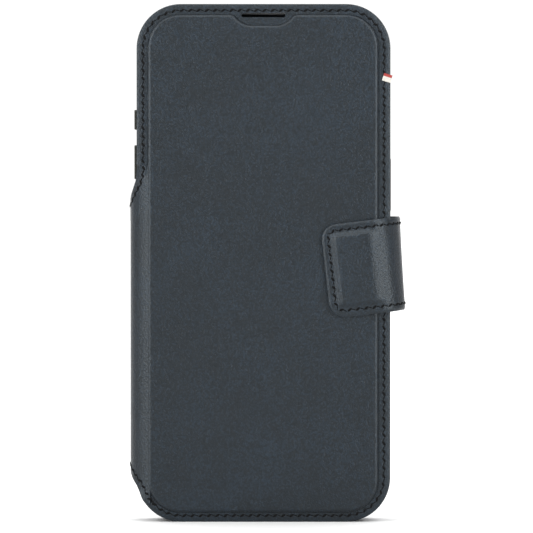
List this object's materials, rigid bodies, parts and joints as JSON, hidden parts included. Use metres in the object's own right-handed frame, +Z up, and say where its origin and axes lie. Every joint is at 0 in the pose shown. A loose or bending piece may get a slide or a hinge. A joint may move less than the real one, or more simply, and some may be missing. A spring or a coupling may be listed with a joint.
{
  "type": "phone wallet case",
  "caption": "Closed leather folio wallet with a raised front cover, soft spine, magnetic strap and a detachable phone tray with side buttons.",
  "frame": {"origin": "middle of the closed case's lowest edge, on the surface that it stands on", "axes": "+Z up along the case's height, -Y out of the front cover, +X towards the strap, away from the spine"},
  "size_m": [0.0878, 0.0206, 0.1668],
  "materials": {
    "leather": "satin, fine pebbled grain",
    "pocket_leather": "satin, smooth",
    "microfibre": "matt, short nap",
    "board": "matt",
    "woven_tape": "woven",
    "moulding": "fine matt texture",
    "dark_metal": "dark anodised, satin",
    "magnet": "nickel plated",
    "steel": "cold rolled"
  },
  "bodies": {
    "wallet_back": {"back_leather": "leather", "back_board": "board", "back_lining": "microfibre", "back_magnets": "magnet", "back_alignment_magnet": "magnet", "strap_root": "leather"},
    "spine": {"spine_leather": "leather", "spine_lining": "microfibre"},
    "front_cover": {"cover_leather": "leather", "cover_board": "board", "cover_lining": "microfibre", "catch_plate": "steel", "cash_pocket": "pocket_leather", "card_pocket_1": "pocket_leather", "card_pocket_2": "pocket_leather", "card_pocket_3": "pocket_leather", "woven_tag": "woven_tape"},
    "strap": {"strap_leather": "leather", "strap_lining": "microfibre", "strap_magnet": "magnet"},
    "phone_case": {"case_shell": "moulding", "case_leather": "leather", "case_lining": "microfibre", "camera_frame": "dark_metal", "case_magnets": "magnet", "case_alignment_magnet": "magnet"},
    "action_button": {"action_button": "dark_metal"},
    "volume_up_button": {"volume_up_button": "dark_metal"},
    "volume_down_button": {"volume_down_button": "dark_metal"},
    "power_button": {"power_button": "dark_metal"}
  },
  "joints": [
    {"name": "spine_fold", "type": "hinge", "parent": "wallet_back", "child": "spine", "pos_m": [-0.03832, 0.0082, 0.06], "axis": [0, 0, -1], "range_deg": [0, 90]},
    {"name": "cover_fold", "type": "hinge", "parent": "spine", "child": "front_cover", "pos_m": [-0.03832, -0.0073, 0.06], "axis": [0, 0, -1], "range_deg": [0, 90]},
    {"name": "strap_open", "type": "hinge", "parent": "wallet_back", "child": "strap", "pos_m": [0.03612, 0.0103, 0.0834], "axis": [0, 0, 1], "range_deg": [0, 135]},
    {"name": "case_detach", "type": "slide", "parent": "wallet_back", "child": "phone_case", "axis": [0, 0, 1], "range_m": [0, 0.17]},
    {"name": "action_button_press", "type": "slide", "parent": "phone_case", "child": "action_button", "axis": [1, 0, 0], "range_m": [0, 0.0004], "stiffness_N_per_m": 1000, "springref_m": -0.0003},
    {"name": "volume_up_button_press", "type": "slide", "parent": "phone_case", "child": "volume_up_button", "axis": [1, 0, 0], "range_m": [0, 0.0004], "stiffness_N_per_m": 1000, "springref_m": -0.0003},
    {"name": "volume_down_button_press", "type": "slide", "parent": "phone_case", "child": "volume_down_button", "axis": [1, 0, 0], "range_m": [0, 0.0004], "stiffness_N_per_m": 1000, "springref_m": -0.0003},
    {"name": "power_button_press", "type": "slide", "parent": "phone_case", "child": "power_button", "axis": [-1, 0, 0], "range_m": [0, 0.0004], "stiffness_N_per_m": 1000, "springref_m": -0.0003}
  ],
  "couplings": [
    {"joint": "cover_fold", "follows": "spine_fold", "ratio": 1}
  ]
}
